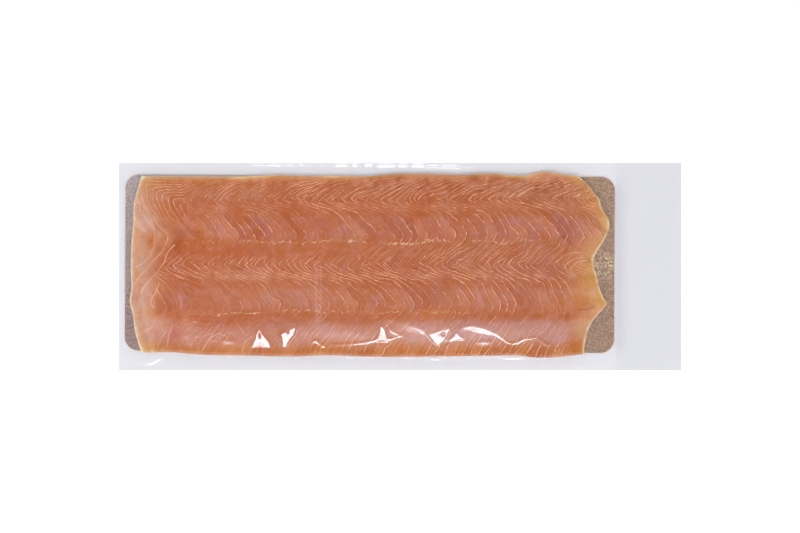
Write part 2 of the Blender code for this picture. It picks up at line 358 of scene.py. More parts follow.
# The walls seen from above: each runs across the side and folds to and fro. A fold is (across,
# slope) knots, slope being how fast the wall moves to the tail, and starts where the course is 0.
WALL_PITCH = 9.3
APEX_ROW = (24.4, 87.1)  # the folds that point to the head
PIN_ROW = (66.4, 134.4)  # the folds that point to the tail, where the pin bones were
FOLDS = (
    (APEX_ROW[0], ((-8, -6.0), (5, -4.6), (10, -2.8), (14, -1.8), (APEX_ROW[0], -1.3))),
    (APEX_ROW[0], ((APEX_ROW[0], 1.1), (28, 1.6), (31, 2.8), (34, 3.2), (36.5, 2.1), (39, 1.15), (44, 0.8),
                   (56, 0.7), (60, 0.45), (62, -0.6), (PIN_ROW[0], -0.8))),
    (PIN_ROW[0], ((PIN_ROW[0], -0.8), (72, -1.2), (80, -1.2), (APEX_ROW[1], -1.15))),
    (APEX_ROW[1], ((APEX_ROW[1], 1.15), (90.5, 1.5), (95, 2.5), (99, 3.2), (102.5, 2.6), (105.5, 1.4),
                   (110, 0.9), (122, 0.7), (127, 0.3), (130, -0.4), (PIN_ROW[1], -0.6))),
    (PIN_ROW[1], ((PIN_ROW[1], -0.6), (140, -0.9), (152, -0.95), (166, -0.7), (182, -0.5))),
)


def wall_course(along, across, steepness):
    """How far a wall has moved to the tail at a distance across: each fold's slopes, integrated from
    its start, times its steepness and a slow random change along the side, and all added up."""
    course = 0
    for number, ((start, knots), steep) in enumerate(zip(FOLDS, steepness)):
        grid = np.linspace(knots[0][0], knots[-1][0], 400)
        slope = np.interp(grid, *np.array(knots).T)
        run = np.concatenate([[0], np.cumsum((slope[1:] + slope[:-1]) / 2 * np.diff(grid))])
        run = run - np.interp(start, grid, run)
        unlike = 1 + 0.13 * cloud(along, across * 0.3, 60, 20 + number)
        course = course + np.interp(across, grid, run) * unlike * steep
    return course


def line_pitch(phase, step_x, step_y):
    """Distance between neighbouring walls: one over the length of the phase's gradient."""
    slope_y, slope_x = np.gradient(phase)
    return 1 / np.clip(np.hypot(slope_x / step_x, slope_y / step_y), 1e-3, None)


# Walls that stand alone, as strength and (along, across) knots: long bends round the shoulder
# muscle at the head end, and short ones beside the tail's notch
LONE_WALLS = (
    (0.6, ((7, 23), (12, 31), (17, 38), (21, 47), (23.4, 54), (24.8, 61), (22.4, 71), (18.9, 80),
           (12, 87), (4, 91))),
    (0.7, ((12, 19), (11.7, 24), (16, 31), (22, 41), (27, 49.5), (33, 55), (37, 59), (37.3, 63.5),
           (35, 69), (31, 76), (26, 82), (19, 88.5), (10.6, 97), (4.3, 106.6))),
    (1.0, ((44, 69), (40, 73), (36.8, 78), (34.3, 85.7), (29.4, 91.3), (26, 95.5), (20.3, 102.4),
           (16.2, 108), (11.3, 113.6), (10.3, 117))),
    (0.8, ((28.7, 106.6), (26.2, 115), (22.4, 121), (21, 125.5), (23.8, 130))),
    (0.6, ((46.8, 118), (50.3, 125), (49.6, 132))),
    (0.6, ((42, 146), (38.5, 155.5), (35.7, 168))),
    (0.6, ((34.3, 154), (28.7, 162.5), (26, 171))),
    (0.5, ((23, 143), (20.3, 148.5), (7.8, 157))),
    (0.8, ((70.5, 171), (77.5, 160), (84.5, 155.5), (94, 158))),
    (0.7, ((108, 173.5), (109.6, 166.6), (115, 160.5), (119.5, 158))),
    (0.5, ((102.6, 141.5), (106.8, 148.5), (109.6, 155.5))),
    (0.6, ((444, 81), (432, 82.5), (424, 88), (423.5, 93), (428, 98), (432, 101))),
    (0.6, ((447, 84), (436, 85.5), (429.5, 91), (429, 94.5), (434, 98.5))),
    (0.5, ((440, 76), (428, 77), (420.5, 80))),
    (0.4, ((420, 104), (428, 111), (431, 119))),
)


FAR = 1e3  # a distance beyond anything here


def smooth_path(knots, spans):
    """Points along a smooth path through knots, this many to each knot: every column of the knots is
    a smooth curve over their number."""
    knots = np.array(knots, dtype=float)
    count = np.arange(len(knots))
    fine = np.linspace(0, count[-1], spans * count[-1] + 1)
    return np.stack([through(np.column_stack([count, column]), fine) for column in knots.T], axis=-1)


def to_span(x, y, start, end):
    """Distance to a straight span, and the share of the way along it: the foot of the perpendicular,
    kept between the span's ends."""
    span = end - start
    t = np.clip(((x - start[0]) * span[0] + (y - start[1]) * span[1]) / (span @ span), 0, 1)
    return np.hypot(x - start[0] - t * span[0], y - start[1] - t * span[1]), t


def to_path(along, across, knots):
    """Distance to the smooth path through these knots, as the least distance to its short spans."""
    least = np.full(along.shape, FAR)
    path = smooth_path(knots, 6)
    for start, end in zip(path, path[1:]):
        least = np.minimum(least, to_span(along, across, start, end)[0])
    return least


u, v = np.meshgrid(np.linspace(0, 1, FLESH_COLUMNS), np.linspace(0, 1, FLESH_ROWS))
top = salmon_top(u, v)
along = top[..., 0] - salmon_low[0]
across = salmon_high[1] - top[..., 1]
step_along = SALMON_LENGTH / (FLESH_COLUMNS - 1)
step_across = SALMON_WIDTH / (FLESH_ROWS - 1)

# The flesh was soft when it set, so the walls sway: size of the sway, reach along and reach across
SWAYS = ((50, 3.2, 2.4), (15, 1.8, 1.3), (6.5, 0.9, 0.6), (3.4, 0.45, 0.25))
sway_along, sway_across = 0, 0
for number, (size, reach_along, reach_across) in enumerate(SWAYS):
    sway_along = sway_along + cloud(along, across, size, 10 + number) * reach_along
    sway_across = sway_across + cloud(along, across, size, 30 + number) * reach_across
swayed = across + sway_across

# The phase grows by one from each wall to the next
FIRST_WALL = 11
steepness = [
    1 + 0.8 * ease(370, 425, along), 1, 1,
    1 - 0.5 * (1 - ease(45, 90, along)) - 0.45 * ease(330, 430, along), 1]
phase = (along + sway_along - wall_course(along, swayed, steepness) - FIRST_WALL) / WALL_PITCH
# Round the shoulder at the head end the walls are nested loops. Each keeps its distance from three
# straight sides, a flat one above, an upright one and a slanting one below, with soft corners
LOOP_CORNER = (12.1, 9.4)
LOOP_PITCH = (4.3, 2.6, 5.0)
LOOP_SOFTNESS = 0.75
loop_along = along + sway_along * 0.4 + cloud(along, across, 9, 175) * 1.2
loop_across = across + sway_across * 0.4 + cloud(along, across, 9, 176) * 1.2
loop_sides = (
    (loop_along - LOOP_CORNER[0]) / LOOP_PITCH[0],
    (loop_across - LOOP_CORNER[1] - 0.06 * (loop_along - 30)) / LOOP_PITCH[1],
    (loop_along - LOOP_CORNER[0] - 0.8 * (loop_across - 27)) / LOOP_PITCH[2],
)
loops = -np.log(sum(np.exp(-LOOP_SOFTNESS * side) for side in loop_sides)) / LOOP_SOFTNESS
in_loops = (1 - ease(50, 64, along - 0.2 * (across - 20))) * (1 - ease(56, 64, across))
phase = phase * (1 - in_loops) + (loops - 4) * in_loops
pitch = line_pitch(phase, step_along, step_across)

# How plain the walls are: first by how far across they lie, then place by place
shoulder_edge = np.interp(
    across, [60, 69, 78, 91, 102, 117, 130, 150, 180], [42, 44, 37, 29.5, 20.5, 12, 20, 44, 60])
past_shoulder = along - np.where(across > 55, shoulder_edge, -10)
before_tail = 1 - ease(418, 432, along) * ease(76, 84, across)
beside_pins = ease(64, 70, across) * (1 - ease(78, 83, across)) * (1 - ease(205, 250, along))
wall_strength = np.interp(
    across,
    [-3, 5, 14, 28, 32, 38, 42, 56, 64, 68, 77, 82, 86, 93, 100, 108, 116, 126, 136, 142, 158, 175, 180],
    [.2, .4, .8, .85, .75, .7, .75, .78, .5, .3, .35, .8, 1.1, 1.0, 1.0, .75, .72, .72, .4, .6, .8, .9, .9])
wall_strength *= 1 - 0.8 * beside_pins

# Each wall has its own chance in each row of muscle: the rows' borders, and how plain at least
ROW_BORDERS = (30.0, 66.4, 88.0, 104.0, 134.4)
ROW_LEAST = np.array([0.45, 0.4, 0.25, 0.45, 0.4, 0.25])
rows_passed = sum(ease(border - 1.5, border + 1.5, swayed) for border in ROW_BORDERS)


def by_row(table, number):
    """The table's value for this row of muscle and this wall, blended where two rows meet."""
    row = np.floor(rows_passed).astype(int)
    part = rows_passed - row
    here = table[row, number % table.shape[1]]
    following = table[np.minimum(row + 1, len(ROW_BORDERS)), number % table.shape[1]]
    return here * (1 - part) + following * part


chance = np.random.default_rng(77).uniform(0, 1, (len(ROW_LEAST), 400))
plainness = ROW_LEAST[:, None] + (1.35 - ROW_LEAST[:, None]) * chance ** 1.4
wall_strength *= by_row(plainness, np.floor(phase + 0.5).astype(int))
wall_strength *= 0.95 + 0.8 * cloud(along, across, 16, 5) + 1.2 * cloud(along, across, 5, 6)
wall_strength *= 1 - ease(11, 17, pitch)
outside_apex = 1 - 0.8 * ease(80, 86, across) * (1 - ease(98, 106, across))
wall_strength *= 1 + 0.9 * ease(190, 300, along) * ease(34, 44, across) * outside_apex
wall_strength *= ease(0, 4, past_shoulder)
loop_strength = np.interp(across, [3, 7, 12, 30, 38, 46, 56], [0.5, 0.9, 1.1, 1.1, 0.9, 0.35, 0.1])
loop_strength = loop_strength * (0.85 + 0.5 * cloud(along, across, 7, 177)) * ease(4, 9, along)
wall_strength = wall_strength * (1 - in_loops) ** 2 + loop_strength * in_loops ** 2
# Muscle without visible walls: where along and across, and its reaches
PLAIN = ((62, 22, 10, 8), (62, 63, 14, 9), (72, 118, 30, 15))
for at_along, at_across, reach_along, reach_across in PLAIN:
    wall_strength *= 1 - 0.9 * np.exp(
        -((along - at_along) / reach_along) ** 4 - ((across - at_across) / reach_across) ** 4)
wall_strength *= before_tail
wall_strength *= 1 - 0.75 * ease(138, 146, across) * (1 - ease(150, 215, along))
wall_strength = np.clip(wall_strength, 0, 1.4)

# Thinner walls half way between some of these
half_strength = np.interp(
    across,
    [0, 6, 20, 30, 36, 62, 70, 84, 100, 106, 138, 176],
    [.2, .45, .6, .45, .1, .1, .6, .8, .7, .15, .15, .4])
half_strength *= by_row(chance[:, ::-1], np.floor(phase).astype(int)) * (1 - in_loops)
half_strength *= 1.2 + 0.8 * cloud(along, across, 15, 178) + 0.8 * cloud(along, across, 5, 179)
half_strength *= (1 - ease(9, 13, pitch)) * ease(0, 4, past_shoulder)
half_strength *= 1 - 0.8 * beside_pins
half_strength *= before_tail
half_strength = np.clip(half_strength, 0, 1)

# Walls of the slice below, seen through this one, a little closer together and less folded
DEEP_PITCH = 7.1
FIRST_DEEP_WALL = 5
deep_course = wall_course(along, across + cloud(along, across, 20, 83) * 3, [0.8] * len(FOLDS)) * 1.12
deep_sway = cloud(along, across, 24, 81) * 5 + cloud(along, across, 9, 82) * 1.5
deep_phase = (along + deep_sway - deep_course - FIRST_DEEP_WALL) / DEEP_PITCH
deep_pitch = line_pitch(deep_phase, step_along, step_across)
deep_strength = np.interp(
    across,
    [0, 10, 20, 30, 40, 66, 72, 86, 98, 104, 140, 176],
    [.6, .9, .7, .4, .15, .15, .7, 1.0, .9, .3, .15, .35])
deep_strength *= 0.7 + 1.6 * cloud(along, across, 13, 84) + 0.8 * cloud(along, across, 4.5, 85)
deep_strength *= ease(0, 6, along - np.where(across > 40, shoulder_edge, 50))
near_pins = ease(60, 68, across) * (1 - ease(78, 84, across)) * (1 - ease(205, 250, along))
deep_strength *= 1 - 0.85 * near_pins
deep_strength *= 1 - ease(11, 17, deep_pitch)
deep_strength = np.clip(deep_strength, 0, 1)

# The walls that stand alone, as the distance from the nearest one
stroke_distance = np.full(along.shape, FAR)
stroke_strength = np.zeros(along.shape)
for strength, knots in LONE_WALLS:
    distance = to_path(along + cloud(along, across, 12, 70) * 1.2, across, knots)
    nearer = distance < stroke_distance
    stroke_distance = np.where(nearer, distance, stroke_distance)
    stroke_strength = np.where(nearer, strength, stroke_strength)
stroke_strength *= 0.75 + 0.4 * cloud(along, across, 9, 71)

# The two rows of pin-bone ends, as the signed distance from the nearer one
pin_distance = np.full(along.shape, FAR)
pin_strength = np.zeros(along.shape)
for row, seed, start, end in ((PIN_ROW[0] - 0.2, 50, 66, 425), (PIN_ROW[1] - 0.2, 60, 70, 350)):
    distance = across - row - cloud(along, 3.0, 30, seed) * 2.0 - cloud(along, 9.0, 11, seed) * 1.2
    shown = np.clip(cloud(along, 5.0, 17, seed + 3) * 1.5 + 0.95, 0, 1)
    shown = shown * ease(start, start + 8, along) * (1 - ease(end - 60, end, along))
    nearer = np.abs(distance) < np.abs(pin_distance)
    pin_distance = np.where(nearer, distance, pin_distance)
    pin_strength = np.where(nearer, shown, pin_strength)


flesh = np.zeros(along.shape + (3,)) + levels("#B76232") * 255


def tint(weight, change):
    """Adds a change of colour, in sRGB levels of 255, where the weight says."""
    flesh[...] += weight[..., None] * np.array(change, dtype=float)


def patch(at_along, at_across, reach_along, reach_across):
    """A soft round weight: a bell curve of the distance from a place, over the reaches."""
    return np.exp(-((along - at_along) / reach_along) ** 2 - ((across - at_across) / reach_across) ** 2)


from_head = u * SALMON_LENGTH
from_tail = (1 - u) * SALMON_LENGTH
from_belly = v * SALMON_WIDTH
from_back = (1 - v) * SALMON_WIDTH
flakes_back = ease(38, 46, across) * (1 - ease(58, 68, across))
flakes_belly = ease(108, 116, across) * (1 - ease(126, 138, across))
fibre_share = 1 - 0.55 * (flakes_back + flakes_belly)

# Soft round patches of other tones, and below them richer flesh where the slices are thick or
# folded: place along and across, reaches along and across, and the change of colour
TONE_PATCHES = (
    (90, 5, 130, 14, (6, 7, 3)),
    (260, 18, 110, 9, (1, 0, -12)),
    (260, 8, 110, 18, (-7, -12, -22)),
    (420, 8, 70, 20, (-13, -4, 2)),
    (200, 27, 180, 10, (-3, -7, -11)),
    (420, 28, 60, 8, (-2, 1, 5)),
    (230, 44, 90, 20, (-2, -6, -11)),
    (60, 66, 22, 16, (-2, -6, -20)),
    (95, 76, 60, 9, (0, -4, -4)),
    (250, 96, 300, 16, (-6, -7, -4)),
    (330, 60, 120, 50, (-2, 2, 6)),
    (140, 110, 60, 30, (3, 3, 2)),
    (75, 152, 45, 18, (-1, -9, -16)),
    (190, 150, 40, 14, (0, 3, 12)),
    (370, 146, 90, 12, (0, 3, 7)),
    (46, 70, 5, 10, (-12, -16, -16)),
    (19, 63, 5, 6, (-4, -16, -30)),
    (5, 62, 4, 6, (-2, -14, -30)),
    (26, 111, 5, 6, (-4, -10, -30)),
    (10, 156, 5, 7, (-6, -16, -30)),
    (28, 134, 8, 4, (-2, -14, -20)),
    (43, 156, 6, 7, (-6, -30, -44)),
    (23, 153, 5, 5, (-2, -14, -30)),
    (56, 146, 6, 8, (6, 10, 18)),
    (429, 159, 5, 6, (-10, -22, -36)),
    (425, 140, 4, 6, (-6, -16, -28)),
    (438, 128, 7, 5, (-2, -10, -22)),
    (443, 84, 6, 2.5, (-6, -12, -20)),
    (400, 62, 12, 6, (-2, -10, -14)),
)
for *place_and_reach, change in TONE_PATCHES:
    tint(patch(*place_and_reach), change)

# The rows differ from back to belly, and each of them a little from head to tail, and a painted reflection
# lies on the belly's slope
tint(1 - ease(8, 30, across), (-6, -9, -24))
tint((1 - ease(8, 26, across)) * ease(140, 260, along), (-5, -5, -4))
# Painted reflection: a pale bluish band up the belly's slope, bolder towards the tail, stands in for the
# film's sheen there, and ends at a wandering line
painted_sheen_border = across + cloud(along, 21.0, 24, 98) * 5
tint(ease(138, 150, across) * (1 - ease(160, 170, painted_sheen_border)), (-2, 4, 14))
tint(ease(215, 290, along) * ease(138, 146, across) * (1 - ease(160, 168, across)), (5, 23, 44))
tint(ease(160, 172, across), (2, 4, -14))
tint(ease(28, 40, across) * (1 - ease(98, 130, across)) * ease(250, 400, along), (-2, 3, 8))
# Thicker fat beside the pin bones looks ochre
for row, seed in zip(PIN_ROW, (151, 152)):
    ochre = np.clip(cloud(along, row, 9, seed) * 1.8 - 0.5, 0, 1)
    tint(ochre * np.exp(-((across - row - 1) / 4) ** 2), (-6, -8, -34))
head_pale = 1 - ease(8, 46, along + cloud(along, across, 16, 90) * 7)
tint(head_pale, (23, 52, 68))
# Broad ribs of muscle across the head end, each half pale and half orange
RIB_PITCH = 11
RIB_COURSE = (
    (5, 4), (19, 12), (31, 16), (41, 22), (50, 27), (59, 37), (69, 35), (82, 26), (97, 11), (110, 3),
    (125, 8), (150, 16), (178, 22),
)
rib_across, rib_along = np.array(RIB_COURSE, dtype=float).T
rib_start = np.interp(across, rib_across, rib_along)
rib = (along + cloud(along, across, 14, 171) * 2.5 - rib_start) / RIB_PITCH
at_ribs = (1 - ease(0.2, 0.8, rib)) * (0.6 + 0.6 * cloud(along, across, 12, 172))
tint(np.sin(2 * math.pi * rib) * at_ribs, (5, 10, 15))
# No tone is even: clouds of four sizes, with their seeds and changes of colour
TONE_CLOUDS = ((48, 91, (3, 5, 6)), (20, 92, (2, 5, 9)), (11, 99, (-1, 4, 13)), (5.5, 93, (1, 3, 10)))
for size, seed, change in TONE_CLOUDS:
    tint(cloud(along, across, size, seed), change)
# Flakes: each has its own tone, and is mauve in its middle
beyond_head = ease(0, 6, along - np.where(across > 40, shoulder_edge, 20)) * (1 - ease(11, 17, pitch))
tones = np.random.default_rng(78).uniform(-1, 1, (len(ROW_LEAST), 400))
tones = by_row(tones, np.floor(phase).astype(int))
belly_margin = np.exp(-(from_belly / 11) ** 2)
contrast = 0.5 + 1.5 * flakes_back + 1.0 * flakes_belly + 1.5 * belly_margin
tint(tones * contrast * beyond_head, (6, 8, 9))
mauve = (flakes_back + flakes_belly * 0.9) * (0.8 + 0.7 * cloud(along, across, 14, 94)) * beyond_head
tint(mauve * ease(0.05, 0.5, phase % 1), (-2, 1, 20))
# Painted shade: a darker band just past each wall, on its tail side, as if the wall's step shaded it
tint(mauve * np.exp(-((phase % 1) / 0.16) ** 2), (-4, -6, -6))
tint(flakes_belly * ease(40, 100, along), (4, 11, 15))
tint(flakes_back, (3, 5, 6))

# Fat: a cream line round both cut ends, and a broad yellow one under the tail's thin slices
tint(np.exp(-(from_tail / 18) ** 2) * ease(-80, -30, top[..., 1]), (16, 32, 6))
tint(np.exp(-(from_tail / 7) ** 2) * (0.8 + 0.5 * cloud(along, across, 7, 173)), (4, 8, -18))
tint(np.exp(-(from_head / 6) ** 2) * (0.6 + 0.5 * cloud(along, across, 8, 174)), (4, 6, -14))
tint(patch(440, 108, 14, 26), (14, 23, 12))
for rim_distance, width, seed in ((from_head, 2.0, 95), (from_tail, 1.6, 96)):
    fat = np.clip(rim_distance + cloud(along, across, 6, seed) * 0.7, 0, None)
    fat = 0.95 * np.exp(-(fat / width) ** 2)
    flesh += fat[..., None] * (levels("#FCECC8") * 255 - flesh)
# Painted shade: dark lines along the edge of the slice on top and in two cracks, where the shade falls
PAINTED_SHADE_LINES = (
    ((421, 61), (434, 71), (447, 84)),
    ((437, 132), (445, 131.3), (452, 129.5)),
    ((447, 85), (456, 87.5)),
)
for knots in PAINTED_SHADE_LINES:
    tint(np.exp(-(to_path(along, across, knots) / 1.1) ** 2), (-18, -24, -24))
# The thin margins let more light through, and the back's carries a broken line of cream fat
tint(belly_margin, (0, 6, 0))
tint(belly_margin * (1 - ease(300, 380, along)), (7, 7, 6))
tint(patch(436, 157, 9, 17), (5, 2, -18))
tint(patch(455, 52, 8, 14), (0, -2, -8))
back_fat = np.exp(-(np.clip(from_back + cloud(along, across, 9, 97) * 0.9, 0, None) / 2.8) ** 2)
back_fat *= 0.35 + 0.65 * np.clip(cloud(along, 0.0, 22, 98) * 1.6 + 0.6, 0, 1)
tint(back_fat, (48, 90, 68))
tint(np.exp(-(from_back / 4) ** 2) * (1 - 0.8 * ease(330, 380, along)), (8, 27, 25))


def sheet_faces(rows, columns):
    """Faces of a grid of points numbered row by row, and its rim's points, anticlockwise from above."""
    grid = np.arange(rows * columns).reshape(rows, columns)
    corner = grid[:-1, :-1].ravel()
    quads = np.column_stack([corner, corner + 1, corner + columns + 1, corner + columns])
    return quads.tolist(), np.concatenate([grid[0, :-1], grid[:-1, -1], grid[-1, :0:-1], grid[:0:-1, 0]])


# The mesh: the upper face, a cut wall with the slices' edges in it, and a flat underside
faces, rim = sheet_faces(FLESH_ROWS, FLESH_COLUMNS)
points = [top.reshape(-1, 3)]
outline = points[0][rim]
middle = (outline.min(axis=0) + outline.max(axis=0)) / 2
reach = outline.max(axis=0) - middle
rings = [rim]
# Steps in the cut wall at the slices' edges: how far in, how high up, and share of the rim's colour
SLICE_STEPS = (
    (0.3, 0.72, 0.5), (0.05, 0.5, 0.15), (0.55, 0.42, 0.35), (0.3, 0.2, 0.15),
    (UNDERSIDE_INSET, 0.0, 0.15),
)
for inset, level, _ in SLICE_STEPS:
    ring = outline.copy()
    ring[:, :2] = middle[:2] + (outline - middle)[:, :2] * (1 - inset / reach[:2])
    ring[:, 2] = salmon_low[2] + (outline[:, 2] - salmon_low[2]) * level
    rings.append(sum(map(len, points)) + np.arange(len(rim)))
    points.append(ring)
for high, low in zip(rings, rings[1:]):
    faces += ring_quads(low, high)
faces.append(rings[-1][::-1].tolist())

# What the mesh keeps at its points: a name, the numbers, and the one that the cut wall gets
POINT_VALUES = (
    ("wall", phase, 0.0),
    ("wall_pitch", pitch, 1.0),
    ("wall_strength", wall_strength, 0.0),
    ("half_strength", half_strength, 0.0),
    ("fibre_share", fibre_share, 0.0),
    ("deep_wall", deep_phase, 0.0),
    ("deep_pitch", deep_pitch, 1.0),
    ("deep_strength", deep_strength, 0.0),
    ("pin_distance", pin_distance, 99.0),
    ("pin_strength", pin_strength, 0.0),
    ("stroke_distance", stroke_distance, 9.0),
    ("stroke_strength", stroke_strength, 0.0),
)

# Cold-smoked salmon, cured, smoked and sliced: moist flesh that scatters light, and has no gloss of
# its own under the film that clings to it
salmon_flesh, tree, output = start_material("cold_smoked_salmon")
place = add_node(tree, "TexCoord").outputs["Object"]
kept = {}
for name, _, _ in POINT_VALUES:
    kept[name] = add_node(tree, "Attribute", attribute_name=name).outputs["Fac"]

# Noises: size in millimetres, detail and roughness. Fibres lie between the walls and run the same
# way, so theirs is read from the walls' own phase, and stretched down the wall
FIBRE_WIDTH = 1.9
DOWN_WALL = 0.28
NOISES = (
    ("spots", 2.4, 2.0, 0.6),
    ("patches", 7.0, 3.0, 0.6),
    ("ragged", 2.0, 1.0, 0.6),
    ("thin", 2.8, 2.0, 0.7),
    ("bending", 3.6, 2.0, 0.6),
    ("breaking", 3.4, 2.0, 0.7),
)
noises = {}
for name, size, detail, roughness in NOISES:
    noises[name] = add_node(
        tree, "TexNoise",
        {"Vector": place, "Scale": 1 / (size * MM), "Detail": detail, "Roughness": roughness}
    ).outputs["Fac"]
apart = add_node(tree, "SeparateXYZ", {"Vector": place})
by_wall = add_node(tree, "Math", {0: kept["wall"], 1: WALL_PITCH}, operation="MULTIPLY")
down_wall = add_node(tree, "Math", {0: apart.outputs["Y"], 1: DOWN_WALL / MM}, operation="MULTIPLY")
fibre_place = add_node(tree, "CombineXYZ", {"X": by_wall.outputs[0], "Y": down_wall.outputs[0]})
noises["fibre"] = add_node(
    tree, "TexNoise",
    {"Vector": fibre_place.outputs[0], "Scale": 1 / FIBRE_WIDTH, "Detail": 3.0, "Roughness": 0.7}
).outputs["Fac"]

# What the noises give: from which levels of the noise, to which levels of the weight
RAMPS = (
    ("mottle", "spots", 0.3, 0.7, 0.94, 1.06),
    ("pale", "fibre", 0.52, 0.80, 0.0, 1.0),
    ("deep", "fibre", 0.48, 0.20, 0.0, 1.0),
    ("rich", "patches", 0.52, 0.72, 0.0, 1.0),
    ("rosy", "patches", 0.48, 0.28, 0.0, 1.0),
    ("thinned", "thin", 0.40, 0.56, 0.35, 1.15),
    ("broken", "breaking", 0.46, 0.53, 0.0, 1.0),
)
weights = {}
for name, noise, from_low, from_high, low, high in RAMPS:
    weights[name] = add_node(
        tree, "MapRange",
        {"Value": noises[noise], "From Min": from_low, "From Max": from_high, "To Min": low, "To Max": high}
    ).outputs["Result"]


def near_line(phase, pitch, shift, width):
    """1 on a wall and 0 at this width from it: the phase's distance to a whole number, times the
    pitch, which makes it millimetres."""
    moved = add_node(tree, "Math", {0: phase, 1: 0.5 - shift}, operation="ADD")
    part = add_node(tree, "Math", {0: moved.outputs[0]}, operation="FRACT")
    centred = add_node(tree, "Math", {0: part.outputs[0], 1: 0.5}, operation="SUBTRACT")
    size = add_node(tree, "Math", {0: centred.outputs[0]}, operation="ABSOLUTE")
    distance = add_node(tree, "Math", {0: size.outputs[0], 1: pitch}, operation="MULTIPLY")
    return add_node(
        tree, "MapRange",
        {"Value": distance.outputs[0], "From Min": 0.0, "From Max": width, "To Min": 1.0, "To Max": 0.0},
        interpolation_type="SMOOTHSTEP").outputs["Result"]


# The walls are ragged: noise shakes them a little and thins them here and there
RAGGED = 0.24
wall = add_node(
    tree, "Math", {0: noises["ragged"], 1: RAGGED, 2: kept["wall"]}, operation="MULTIPLY_ADD")
wall = add_node(tree, "Math", {0: wall.outputs[0], 1: RAGGED / 2}, operation="SUBTRACT").outputs[0]
strength = add_node(
    tree, "Math", {0: weights["thinned"], 1: kept["wall_strength"]}, operation="MULTIPLY").outputs[0]
stroke = add_node(
    tree, "MapRange",
    {"Value": kept["stroke_distance"], "From Min": 0.1, "From Max": 0.95, "To Min": 1.0, "To Max": 0.0},
    interpolation_type="SMOOTHSTEP").outputs["Result"]
# Pin-bone ends: a line that noise bends and breaks into bits
BEND_REACH = 9.0
bent = add_node(
    tree, "Math", {0: noises["bending"], 1: BEND_REACH, 2: kept["pin_distance"]},
    operation="MULTIPLY_ADD")
bent = add_node(tree, "Math", {0: bent.outputs[0], 1: BEND_REACH / 2}, operation="SUBTRACT")
bent = add_node(tree, "Math", {0: bent.outputs[0]}, operation="ABSOLUTE")
bits = add_node(
    tree, "MapRange",
    {"Value": bent.outputs[0], "From Min": 0.1, "From Max": 0.85, "To Min": 1.0, "To Max": 0.0})
bits = add_node(
    tree, "Math", {0: bits.outputs["Result"], 1: weights["broken"]}, operation="MULTIPLY").outputs[0]

# Laid over the flesh from the deepest up: weight, strength, colour and the most that it covers
layers = (
    (weights["rich"], 1.0, "#B45C28", 0.38),
    (weights["rosy"], 1.0, "#CE8A7C", 0.34),
    (weights["pale"], kept["fibre_share"], "#ECA682", 0.34),
    (weights["deep"], kept["fibre_share"], "#A05E38", 0.44),
    # painted shadow: a dark line just past each wall on its tail side, where the wall's step shades the
    # flesh
    (near_line(wall, kept["wall_pitch"], 0.11, 1.0), strength, "#985432", 0.56),
    (near_line(kept["deep_wall"], kept["deep_pitch"], 0.0, 0.8), kept["deep_strength"], "#E6A484", 0.55),
    (near_line(wall, kept["wall_pitch"], 0.5, 0.65), kept["half_strength"], "#EAAA86", 0.55),
    (near_line(wall, kept["wall_pitch"], 0.0, 0.75), strength, "#F4AE84", 0.74),
    (stroke, kept["stroke_strength"], "#F6CDA8", 0.68),
    (bits, kept["pin_strength"], "#F4CBA2", 0.75),
)
colour = add_node(tree, "Attribute", attribute_name="flesh").outputs["Color"]
for weight, strength, code, most in layers:
    scaled = add_node(tree, "Math", {0: weight, 1: strength}, operation="MULTIPLY")
    share = add_node(tree, "Math", {0: scaled.outputs[0], 1: most}, operation="MULTIPLY", use_clamp=True)
    mixed = add_node(tree, "Mix", {0: share.outputs[0], 6: colour}, data_type="RGBA")
    mixed.inputs[7].default_value = linear(code)
    colour = mixed.outputs[2]
mottled = add_node(tree, "VectorMath", {0: colour, 3: weights["mottle"]}, operation="SCALE")
flesh_shader = add_node(
    tree, "BsdfPrincipled",
    {"Base Color": mottled.outputs[0], "Roughness": 0.45, "Specular IOR Level": 0.15})
tree.links.new(flesh_shader.outputs["BSDF"], output.inputs["Surface"])

salmon = add_piece("smoked_salmon_side", np.concatenate(points) * MM, faces, salmon_flesh)
for name, values, on_wall in POINT_VALUES:
    full = np.full(len(salmon.data.vertices), on_wall, dtype=np.float32)
    full[:values.size] = values.ravel()
    salmon.data.attributes.new(name, "FLOAT", "POINT").data.foreach_set("value", full)
upper_colours = to_linear(np.clip(flesh, 0, 255).reshape(-1, 3) / 255)
cut_flesh = to_linear(levels("#C47A50"))
wall_colours = [upper_colours[rim] * kept + cut_flesh * (1 - kept) for _, _, kept in SLICE_STEPS]
colours = np.ones((len(salmon.data.vertices), 4), dtype=np.float32)
colours[:, :3] = np.concatenate([upper_colours, *wall_colours])
salmon.data.attributes.new("flesh", "FLOAT_COLOR", "POINT").data.foreach_set("color", colours.ravel())
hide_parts("salmon")
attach(salmon, "root")

# ---------------------------------------------------------------------------------------------
# Pouch. Two webs of clear polyamide and polyethylene film, evacuated and heat-sealed all round:
# the upper one clings to the fish, drops to the board and lies flat on the lower one beyond it.
# ---------------------------------------------------------------------------------------------
CLING = 0.25  # film above what it touches
WEB_GAP = 0.25  # between the webs in the flange
LOWER_WEB = 0.1  # lower web above the table
LEAVES_FISH = 3.0  # how far inside the fish's edge the film stops following it
BRIDGE_SLOPE = 0.22  # it then runs straight on at this slope, to a sharp bend over the edge
OVER_EDGE = 0.6  # how far inside the edge that bend lies
FOOT = 1.6  # how far outside the edge the film meets the board
PAST_BOARD = 0.4  # how far outside the board's edge it bends down
SECOND_DROP = 0.8  # reach of the drop from the board to the lower web
BEND = 0.15  # half of a bend's run
FLANGE_LINES = 17  # rows of points across the flange, close enough for the folds in it
LINES = 4 * 3 + 2 + FLANGE_LINES  # three to each bend, two across the board, and the flange
FILM_COLUMNS = 481
